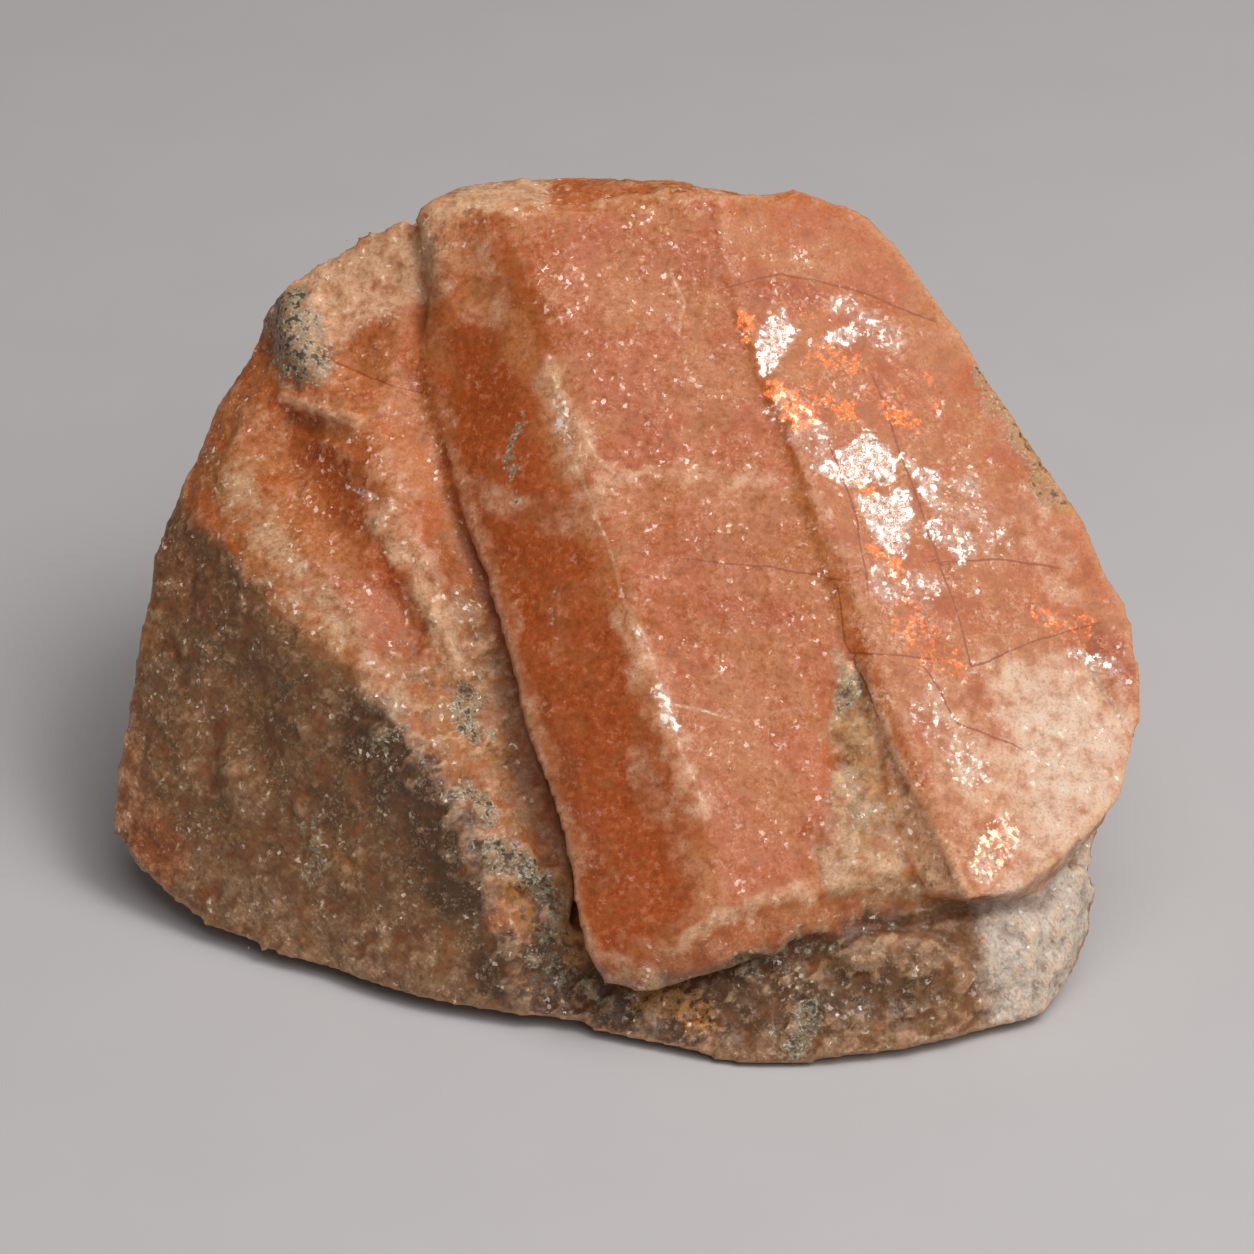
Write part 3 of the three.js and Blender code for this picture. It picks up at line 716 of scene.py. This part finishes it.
def drawn_share(places, marks):
    """The strongest of the marks at each place."""
    total = np.zeros(len(places))
    for mark in marks:
        share = share_of_line(places, mark) if "line" in mark else share_of_area(places, mark)
        total = np.maximum(total, share)
    return total


def nearest_thin_line(places, thin_lines):
    """Signed distance to the nearest thin line, and 1 beside it that fades out past its ends."""
    best = np.full(len(places), np.inf)
    signed = np.zeros(len(places))
    here = np.zeros(len(places))
    for line in thin_lines:
        distance, side, past = distance_to_line(places, line)
        closer = distance < best
        best = np.where(closer, distance, best)
        signed = np.where(closer, side, signed)
        here = np.where(closer, 1 - smooth_step(past, 0, THIN_LINE_FADE), here)
    return signed, here


def read_vectors(items, name):
    """One vector of each vertex as an array."""
    values = np.zeros(len(items) * 3, np.float32)
    items.foreach_get(name, values)
    return values.reshape(-1, 3).astype(float)


def noise_at(points, width, shift):
    """Cloudy noise between about -1 and 1 whose clouds are width wide. Each shift gives other clouds."""
    heights = np.zeros(len(points))
    offset = Vector((shift, -shift, 2 * shift))
    for i, p in enumerate(points):
        place = Vector(p) / width + offset
        heights[i] = noise.fractal(place, NOISE_FALL, NOISE_STEP, NOISE_OCTAVES, noise_basis=NOISE_KIND)
    return heights


def grain_relief(points, width):
    """Height of broken grains, from -1 to 1: each is a small flat face with its own level and slope."""
    heights = np.zeros(len(points))
    for i, p in enumerate(points):
        place = Vector(p) / width
        centre = noise.voronoi(place, distance_metric="DISTANCE")[1][0]
        level = noise.cell(centre * LEVELS) - MIDDLE
        slope = noise.cell_vector(centre * SLOPES) - Vector((MIDDLE,) * 3)
        heights[i] = GRAIN_LEVEL * level + GRAIN_SLOPE * slope.dot(place - centre)
    return heights


def mesh_edges(mesh):
    """The two ends of each edge as an array."""
    ends = np.zeros(len(mesh.edges) * 2, np.int32)
    mesh.edges.foreach_get("vertices", ends)
    return ends.reshape(-1, 2)


def bulge(points, normals, edges, rounds):
    """How far each point stands out of its surroundings, in millimetres: positive on ridges."""
    count = np.bincount(edges.ravel(), minlength=len(points)).astype(float)
    smooth = points.copy()
    for _ in range(rounds):
        total = np.zeros_like(smooth)
        for axis in range(3):
            total[:, axis] = np.bincount(edges[:, 0], smooth[edges[:, 1], axis], len(smooth))
            total[:, axis] += np.bincount(edges[:, 1], smooth[edges[:, 0], axis], len(smooth))
        smooth = total / count[:, None]
    return ((points - smooth) * normals).sum(1) / MM


def merged_copy(node, name):
    """A new object with the node's shape, its doubled points merged."""
    mesh = bpy.data.meshes.new(name)
    shape = bmesh.new()
    shape.from_mesh(node.data)
    bmesh.ops.remove_doubles(shape, verts=shape.verts, dist=MERGE_WITHIN)
    shape.to_mesh(mesh)
    shape.free()
    made = bpy.data.objects.new(name, mesh)
    bpy.context.scene.collection.objects.link(made)
    return made


def fine_surface(piece, step):
    """Gives the piece an even mesh of small faces with its sharp edges slightly worn."""
    remesh = piece.modifiers.new("Even faces", "REMESH")
    remesh.mode = "VOXEL"
    remesh.voxel_size = step
    remesh.use_smooth_shade = True
    wrap = piece.modifiers.new("True form", "SHRINKWRAP")
    wrap.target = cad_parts[CAD_NODE]
    wear = piece.modifiers.new("Worn edges", "SMOOTH")
    wear.factor = WEAR
    wear.iterations = WEAR_ROUNDS
    finished = bpy.data.meshes.new_from_object(piece.evaluated_get(bpy.context.evaluated_depsgraph_get()))
    piece.modifiers.clear()
    old = piece.data
    piece.data = finished
    bpy.data.meshes.remove(old)
    finished.name = piece.name


def roughness_at(points, facing):
    """How far a grain stands out of the middle level at each point, in millimetres."""
    drawn = drawn_share(seen_from_camera(points), ROUGHNESS)
    named = np.where(drawn > 0, drawn, ROUGHNESS_ELSEWHERE)
    return facing * named + (1 - facing) * ROUGHNESS_ELSEWHERE


def carve(mesh, stone, facing):
    """Breaks the surface into its lumps and grains, and cuts the drawn fine form into the broad face."""
    points = read_vectors(mesh.vertices, "co")
    normals = read_vectors(mesh.vertex_normals, "vector")
    places = seen_from_camera(points)
    sharp = smooth_step(np.abs(bulge(points, normals, mesh_edges(mesh), EDGE_ROUNDS)), *EDGE_BULGE)
    rough = roughness_at(points, facing) * (1 - EDGE_CALM * sharp)
    rough *= 1 + MICA_ROUGHER * facing * drawn_share(places, DRAWN["mica"])
    height = rough * grain_relief(points, stone.grain)
    height += GRIT * rough * noise_at(points, stone.grain * GRIT_WIDTH, GRIT_SHIFT)
    height += (LUMP_HEIGHT + LUMP_SHARE * rough) * noise_at(points, stone.lump, LUMP_SHIFT)
    for line, reach, amount in RELIEF:
        distance, _, _ = distance_to_line(places, line)
        height += facing * amount * (1 - smooth_step(distance, 0, reach))
    height *= smooth_step(points[:, 2], 0, LOW_RELIEF_BELOW)
    carved = points + normals * height[:, None] * MM
    carved[:, :2] *= 1 - DRAWN_IN * (1 - smooth_step(points[:, 2:], 0, DRAWN_IN_BELOW))
    return carved


def back_shares(points):
    """What lies where on the sides that the camera does not see, as clouds of each mineral."""
    low_down = 1 - smooth_step(points[:, 2] / MM, *LOWER_PART)
    shares = {}
    for name, (strength, width, shift, raised, filled, low, high) in BEHIND.items():
        clouds = noise_at(points, width * MM, shift) + raised * low_down
        shares[name] = strength * np.clip(filled * low_down + smooth_step(clouds, low, high), 0, 1)
    return shares


def store(mesh, name, values):
    """Keeps one number for each vertex under a name that the material reads."""
    layer = mesh.attributes.new(name, "FLOAT", "POINT")
    layer.data.foreach_set("value", values.astype(np.float32))


def mark_minerals(mesh, facing):
    """Marks on each vertex how much of each mineral, finish, painted shade and painted highlight is there.
    """
    points = read_vectors(mesh.vertices, "co")
    normals = read_vectors(mesh.vertex_normals, "vector")
    places = seen_from_camera(points)
    wander = np.stack([noise_at(points, WANDER_WIDTH * MM, shift) for shift in WANDER_SHIFTS], axis=1)
    behind = back_shares(points)
    for name, marks in DRAWN.items():
        front = drawn_share(places + OUTLINE_WANDER * wander, marks)
        store(mesh, name, facing * front + (1 - facing) * behind.get(name, 0))
    for name, (thin_lines, _) in THIN_LINES.items():
        signed, here = nearest_thin_line(places + THIN_LINE_WANDER * wander, thin_lines)
        store(mesh, name, np.clip(signed, -THIN_LINE_FAR, THIN_LINE_FAR))
        store(mesh, name + "_here", here * facing)
    store(mesh, "bulge", bulge(points, normals, mesh_edges(mesh), BULGE_ROUNDS))
    store(mesh, "coarse", roughness_at(points, facing) / ROUGHEST)
    store(mesh, "facing", facing)


def add(tree, kind, sockets=None, give=0, **settings):
    """Adds a node with its settings, gives its input sockets their values or links, and returns one of its
    outputs."""
    made = tree.nodes.new(kind)
    for name, value in settings.items():
        setattr(made, name, value)
    for socket, value in (sockets or {}).items():
        if isinstance(value, bpy.types.NodeSocket):
            tree.links.new(value, made.inputs[socket])
        else:
            made.inputs[socket].default_value = value
    return made.outputs[give] if made.outputs else None


def new_material(name):
    """An empty material, and its node tree."""
    material = bpy.data.materials.new(name)
    material.use_nodes = True
    material.node_tree.nodes.clear()
    return material, material.node_tree


def stone_patterns(tree, stone):
    """The clouds, grains and flakes that run through the stone, on its own coordinates in millimetres."""
    found = {}
    place = add(tree, "ShaderNodeTexCoord", give="Object")
    place = add(tree, "ShaderNodeMapping", {"Vector": place, "Scale": (1 / MM,) * 3})
    for name, (width, detail) in CLOUDS.items():
        cloudy = {"Vector": place, "Scale": 1 / width, "Detail": detail, "Roughness": DETAIL_STRENGTH}
        found[name] = add(tree, "ShaderNodeTexNoise", cloudy)
    found["grain_way"] = found["grain"].node.outputs["Color"]
    stain = {0: found["patches"], 1: STAIN_PATCHES, 2: found["clouds"]}
    found["stain"] = add(tree, "ShaderNodeMath", stain, operation="MULTIPLY_ADD")
    centred = add(tree, "ShaderNodeMath", {0: found["grain"], 1: MIDDLE}, operation="SUBTRACT")
    found["net"] = add(tree, "ShaderNodeMath", {0: centred}, operation="ABSOLUTE")
    bend = {0: found["grain_way"], 1: (FLAKE_BEND,) * 3, 2: place}
    bent = add(tree, "ShaderNodeVectorMath", bend, operation="MULTIPLY_ADD")
    flake = {"Vector": bent, "Scale": MM / stone.flake}
    found["flake_way"] = add(tree, "ShaderNodeTexVoronoi", flake, give="Color")
    for give, name in enumerate(("flake_red", "flake_green")):
        found[name] = add(tree, "ShaderNodeSeparateColor", {0: found["flake_way"]}, give=give)
    block = {"Vector": bent, "Scale": 1 / BLOCK_WIDTH}
    found["block_way"] = add(tree, "ShaderNodeTexVoronoi", block, give="Color")
    streak_turn = STREAK.to_track_quat("X", "Z").to_euler()
    streak = {"Vector": place, "Rotation": streak_turn, "Scale": STREAK_SIZE}
    along = add(tree, "ShaderNodeMapping", streak, vector_type="TEXTURE")
    streaks = {"Vector": along, "Scale": 1, "Detail": STREAK_DETAIL}
    found["streaks"] = add(tree, "ShaderNodeTexNoise", streaks)
    for name in (*DRAWN, "crack", "crack_here", "vein", "vein_here", "bulge", "coarse", "facing"):
        found["marked " + name] = add(tree, "ShaderNodeAttribute", give="Fac", attribute_name=name)
    found["bulge"] = found["marked bulge"]
    return found


def thin_line(tree, found, name, width):
    """A thin line from the mesh's distance to it, with a ragged edge that fades out at the line's ends."""
    distance = add(tree, "ShaderNodeMath", {0: found["marked " + name]}, operation="ABSOLUTE")
    uneven = {0: found["grain"], 1: width, 2: distance}
    ragged = add(tree, "ShaderNodeMath", uneven, operation="MULTIPLY_ADD")
    near = add(
        tree,
        "ShaderNodeMapRange",
        {"Value": ragged, "From Min": THIN_LINE_GONE * width, "From Max": THIN_LINE_FULL * width},
        interpolation_type="SMOOTHSTEP",
    )
    return add(tree, "ShaderNodeMath", {0: near, 1: found[f"marked {name}_here"]}, operation="MULTIPLY")


def stone_shares(tree, found):
    """Each point's share of every mineral, finish, painted shade and highlight, with broken edges."""
    shares = {name: found["marked " + name] for name in ("cleavage", "coarse", "facing")}
    for name, (mark, pattern, reach, low, high) in BROKEN.items():
        uneven = {0: found[pattern], 1: reach, 2: 1 - reach / 2}
        uneven = add(tree, "ShaderNodeMath", uneven, operation="MULTIPLY_ADD")
        moved = add(tree, "ShaderNodeMath", {0: uneven, 1: found["marked " + mark]}, operation="MULTIPLY")
        shares[name] = add(
            tree,
            "ShaderNodeMapRange",
            {"Value": moved, "From Min": low, "From Max": high},
            interpolation_type="SMOOTHSTEP",
        )
    for name, (pattern, low, high) in STEPPED.items():
        shares[name] = add(
            tree,
            "ShaderNodeMapRange",
            {"Value": found[pattern], "From Min": low, "From Max": high},
            interpolation_type="SMOOTHSTEP",
        )
    calm = {"Value": found["marked smooth"], "To Min": 1, "To Max": CALMED}
    shares["calm"] = add(tree, "ShaderNodeMapRange", calm)
    for name, within in (("cluster", "calm"), ("glint", "cluster"), ("pearl", "net")):
        both = {0: shares[name], 1: shares[within]}
        shares[name] = add(tree, "ShaderNodeMath", both, operation="MULTIPLY")
    for name, (_, width) in THIN_LINES.items():
        shares[name] = thin_line(tree, found, name, width)
    return shares


def stone_colour(tree, stone, shares):
    """The minerals' colours laid over each other, with painted shade, highlights and glints among them."""
    surface = list(stone.salmon)
    for names, strength, colour in LAYERS:
        amount = strength
        for name in names:
            amount = add(tree, "ShaderNodeMath", {0: shares[name], 1: amount}, operation="MULTIPLY")
        layer = {0: amount, 6: surface, 7: list(getattr(stone, colour))}
        surface = add(tree, "ShaderNodeMix", layer, give=2, data_type="RGBA")
    return surface


def stone_normal(tree, found, shares):
    """The way that each grain and flake faces: fine grain all over, flakes that lie near the cleavage on
    the block, each a little off it in small blocks that are off it together, and single glinting flakes."""
    ways = {}
    for name, (pattern, share, low, high) in TURNED.items():
        amount = add(tree, "ShaderNodeMapRange", {"Value": shares[share], "To Min": low, "To Max": high})
        way = {0: found[pattern], 1: (MIDDLE,) * 3}
        way = add(tree, "ShaderNodeVectorMath", way, operation="SUBTRACT")
        ways[name] = add(tree, "ShaderNodeVectorMath", {0: way, "Scale": amount}, operation="SCALE")
    face = add(tree, "ShaderNodeNewGeometry", give="Normal")
    grainy = add(tree, "ShaderNodeVectorMath", {0: ways["grain"], 1: face}, operation="ADD")
    plane = add(tree, "ShaderNodeVectorMath", {0: ways["block"], 1: CLEAVAGE}, operation="ADD")
    least, most = CLEAVAGE_SHOWS
    amount = add(tree, "ShaderNodeMapRange", {"Value": shares["pearl"], "To Min": least, "To Max": most})
    amount = add(tree, "ShaderNodeMath", {0: amount, 1: shares["cleavage"]}, operation="MULTIPLY")
    for name, most in FLAKES_SHOW.items():
        share = add(tree, "ShaderNodeMath", {0: shares[name], 1: most}, operation="MULTIPLY")
        share = add(tree, "ShaderNodeMath", {0: share, 1: shares["facing"]}, operation="MULTIPLY")
        amount = add(tree, "ShaderNodeMath", {0: share, 1: amount}, operation="MAXIMUM")
    face = add(tree, "ShaderNodeMix", {0: amount, 4: grainy, 5: plane}, give=1, data_type="VECTOR")
    face = add(tree, "ShaderNodeVectorMath", {0: face, 1: ways["flake"]}, operation="ADD")
    return add(tree, "ShaderNodeVectorMath", {0: face}, operation="NORMALIZE")


def broken_feldspar(stone):
    """Rough feldspar, broken and not polished: the eye gets a waxy, slightly see-through orange body with
    pearly cleavage flakes, granular quartz, dark mica and bright copper-coloured platelets. Shade on the
    left face and the foot, and highlights and glints on the flakes, are partly painted into its colour."""
    material, tree = new_material("broken_feldspar")
    found = stone_patterns(tree, stone)
    shares = stone_shares(tree, found)
    rough = STONE_MATT
    for name, least in FLAKE_MATT.items():
        rough = add(tree, "ShaderNodeMapRange", {"Value": shares[name], "To Min": rough, "To Max": least})
    metal = 0
    for name, most in METALLIC.items():
        metal = add(tree, "ShaderNodeMath", {0: shares[name], 1: most, 2: metal}, operation="MULTIPLY_ADD")
    shader = add(
        tree,
        "ShaderNodeBsdfPrincipled",
        {
            "Base Color": stone_colour(tree, stone, shares),
            "Metallic": metal,
            "Roughness": rough,
            "Normal": stone_normal(tree, found, shares),
            "IOR": REFRACTION,
            "Specular IOR Level": REFLECTION,
            "Subsurface Weight": SCATTER,
            "Subsurface Radius": SCATTER_REACH,
            "Subsurface Scale": SCATTER_DEPTH,
        },
    )
    add(tree, "ShaderNodeOutputMaterial", {"Surface": shader})
    return material


def matt_card(stage):
    """Matt grey card, uncoated: the eye gets an even ground with the faintest cloudiness."""
    material, tree = new_material("matt_card")
    place = add(tree, "ShaderNodeTexCoord", give="Object")
    cloudy = {"Vector": place, "Scale": 1 / CARD_CLOUD, "Detail": CARD_DETAIL}
    clouds = add(tree, "ShaderNodeTexNoise", cloudy)
    amount = add(tree, "ShaderNodeMath", {0: clouds, 1: CARD_DARKER}, operation="MULTIPLY")
    colours = {0: amount, 6: list(stage.floor), 7: (0, 0, 0, 1)}
    colour = add(tree, "ShaderNodeMix", colours, give=2, data_type="RGBA")
    shader = add(tree, "ShaderNodeBsdfPrincipled", {"Base Color": colour, "Roughness": CARD_MATT})
    add(tree, "ShaderNodeOutputMaterial", {"Surface": shader})
    return material


class SUNSTONE_OT_stone(bpy.types.Operator):
    """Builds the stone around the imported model"""

    bl_idname = "sunstone.stone"
    bl_label = "Rough stone"

    def execute(self, context):
        stone = context.scene.sunstone_stone
        piece = merged_copy(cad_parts[CAD_NODE], "rough_stone")
        fine_surface(piece, stone.mesh_step)
        mesh = piece.data
        toward = read_vectors(mesh.vertex_normals, "vector") @ np.array(TO_EYE)
        facing = smooth_step(toward, *FACING)
        low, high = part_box(CAD_NODE)
        carved = np.clip(carve(mesh, stone, facing), np.array(low), np.array(high))
        mesh.vertices.foreach_set("co", carved.astype(np.float32).ravel())
        mesh.update()
        mark_minerals(mesh, facing)
        mesh.materials.clear()
        mesh.materials.append(broken_feldspar(stone))
        mesh.shade_smooth()
        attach(piece, "root")
        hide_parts(CAD_NODE)
        return {"FINISHED"}


def soft_light(name, direction, distance, width, power):
    """A square light that shines on the stone from a direction."""
    light = bpy.data.lights.new(name, "AREA")
    light.size = width
    light.energy = power
    lamp = bpy.data.objects.new(name, light)
    lamp.location = VIEW_CENTRE + direction.normalized() * distance
    lamp.rotation_euler = direction.to_track_quat("Z", "Y").to_euler()
    bpy.context.scene.collection.objects.link(lamp)


class SUNSTONE_OT_stage(bpy.types.Operator):
    """Sets the floor, the lights and the camera"""

    bl_idname = "sunstone.stage"
    bl_label = "Stage"

    def execute(self, context):
        stage = context.scene.sunstone_stage
        shape = bmesh.new()
        bmesh.ops.create_grid(shape, x_segments=1, y_segments=1, size=stage.floor_width / 2)
        mesh = bpy.data.meshes.new("floor")
        shape.to_mesh(mesh)
        shape.free()
        floor = bpy.data.objects.new("floor", mesh)
        mesh.materials.append(matt_card(stage))
        context.scene.collection.objects.link(floor)
        soft_light("key", MIRROR_LIGHT, stage.key_distance, stage.key_width, stage.key_power)
        soft_light("overhead", OVERHEAD, stage.fill_distance, stage.fill_width, stage.fill_power)
        world = bpy.data.worlds.new("soft_room")
        world.use_nodes = True
        world.node_tree.nodes["Background"].inputs["Strength"].default_value = stage.sky
        world.node_tree.nodes["Background"].inputs["Color"].default_value = (1, 1, 1, 1)
        context.scene.world = world
        context.scene.view_settings.view_transform = "Standard"
        camera = bpy.data.objects.new("camera", bpy.data.cameras.new("camera"))
        camera.data.lens = LENS_MM
        camera.data.sensor_width = SENSOR_MM
        camera.location = VIEW_CENTRE + TO_EYE * CAMERA_DISTANCE
        camera.rotation_euler = TO_EYE.to_track_quat("Z", "Y").to_euler()
        context.scene.collection.objects.link(camera)
        context.scene.camera = camera
        return {"FINISHED"}


class SUNSTONE_PT_panel(bpy.types.Panel):
    """Lists the stone's and the stage's sizes, colours and operators"""

    bl_idname = "SUNSTONE_PT_panel"
    bl_label = "Rough sunstone"
    bl_space_type = "VIEW_3D"
    bl_region_type = "UI"
    bl_category = "Sunstone"

    def draw(self, context):
        for group, operator in (
            (context.scene.sunstone_stone, SUNSTONE_OT_stone),
            (context.scene.sunstone_stage, SUNSTONE_OT_stage),
        ):
            box = self.layout.box()
            for name in group.bl_rna.properties.keys():
                if name not in ("rna_type", "name"):
                    box.prop(group, name)
            box.operator(operator.bl_idname)


CLASSES = (SunstoneStone, SunstoneStage, SUNSTONE_OT_stone, SUNSTONE_OT_stage, SUNSTONE_PT_panel)


def register():
    for cls in CLASSES:
        bpy.utils.register_class(cls)
    bpy.types.Scene.sunstone_stone = bpy.props.PointerProperty(type=SunstoneStone)
    bpy.types.Scene.sunstone_stage = bpy.props.PointerProperty(type=SunstoneStage)


def unregister():
    del bpy.types.Scene.sunstone_stone
    del bpy.types.Scene.sunstone_stage
    for cls in reversed(CLASSES):
        bpy.utils.unregister_class(cls)


def main():
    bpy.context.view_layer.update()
    register()
    bpy.ops.sunstone.stone()
    bpy.ops.sunstone.stage()


if __name__ == "__main__":
    main()
